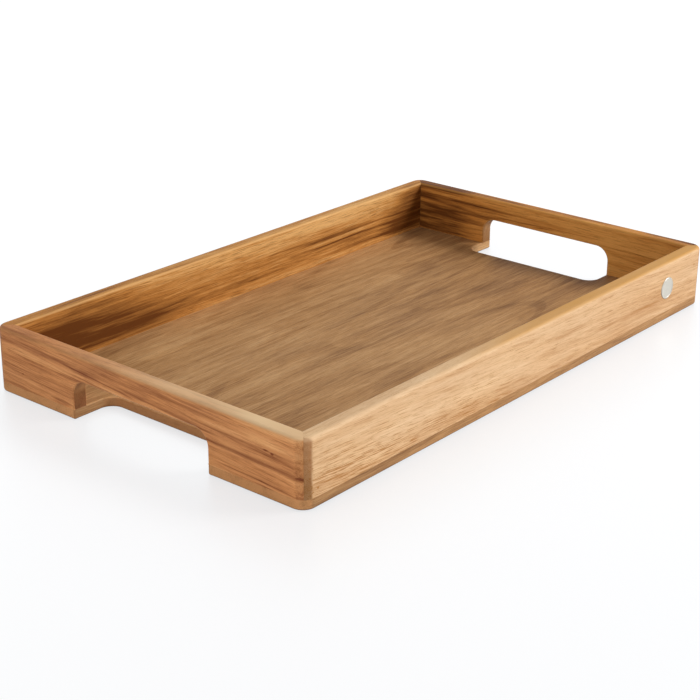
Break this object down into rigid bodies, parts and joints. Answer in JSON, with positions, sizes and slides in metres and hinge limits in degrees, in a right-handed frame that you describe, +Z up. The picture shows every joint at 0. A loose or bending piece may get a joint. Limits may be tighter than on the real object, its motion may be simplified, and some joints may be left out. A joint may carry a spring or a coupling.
{
  "type": "serving tray",
  "caption": "Low rectangular wooden serving tray: mitred rails on a flat base, a carrying bar over a finger notch at each end, and a small bare round metal badge.",
  "frame": {"origin": "middle of the underside, on the surface that the tray stands on", "axes": "+X along the tray towards its right end, +Y from the front rail with the badge to the back rail, +Z up"},
  "size_m": [0.5, 0.3006, 0.05],
  "materials": {
    "rail_honey": "oiled, light honey wood with fine streaks",
    "rail_golden": "oiled, golden brown wood with dark streaks",
    "rail_red_brown": "oiled, red-brown wood with dark bands",
    "rail_brown": "oiled, mid brown wood",
    "base_wood": "oiled, grey-brown wood",
    "joinery_wood": "plain pale hardwood, unfinished",
    "badge_metal": "satin, bare"
  },
  "bodies": {
    "root": {"front_rail": "rail_honey", "back_rail": "rail_golden", "left_end_rail": "rail_red_brown", "right_end_rail": "rail_brown", "base_stave_1": "base_wood", "base_stave_2": "base_wood", "base_stave_3": "base_wood", "base_stave_4": "base_wood", "base_stave_5": "base_wood", "spline_front_left": "joinery_wood", "spline_front_right": "joinery_wood", "spline_back_left": "joinery_wood", "spline_back_right": "joinery_wood", "front_dowels": "joinery_wood", "back_dowels": "joinery_wood", "left_end_dowels": "joinery_wood", "right_end_dowels": "joinery_wood", "badge": "badge_metal"}
  },
  "joints": []
}
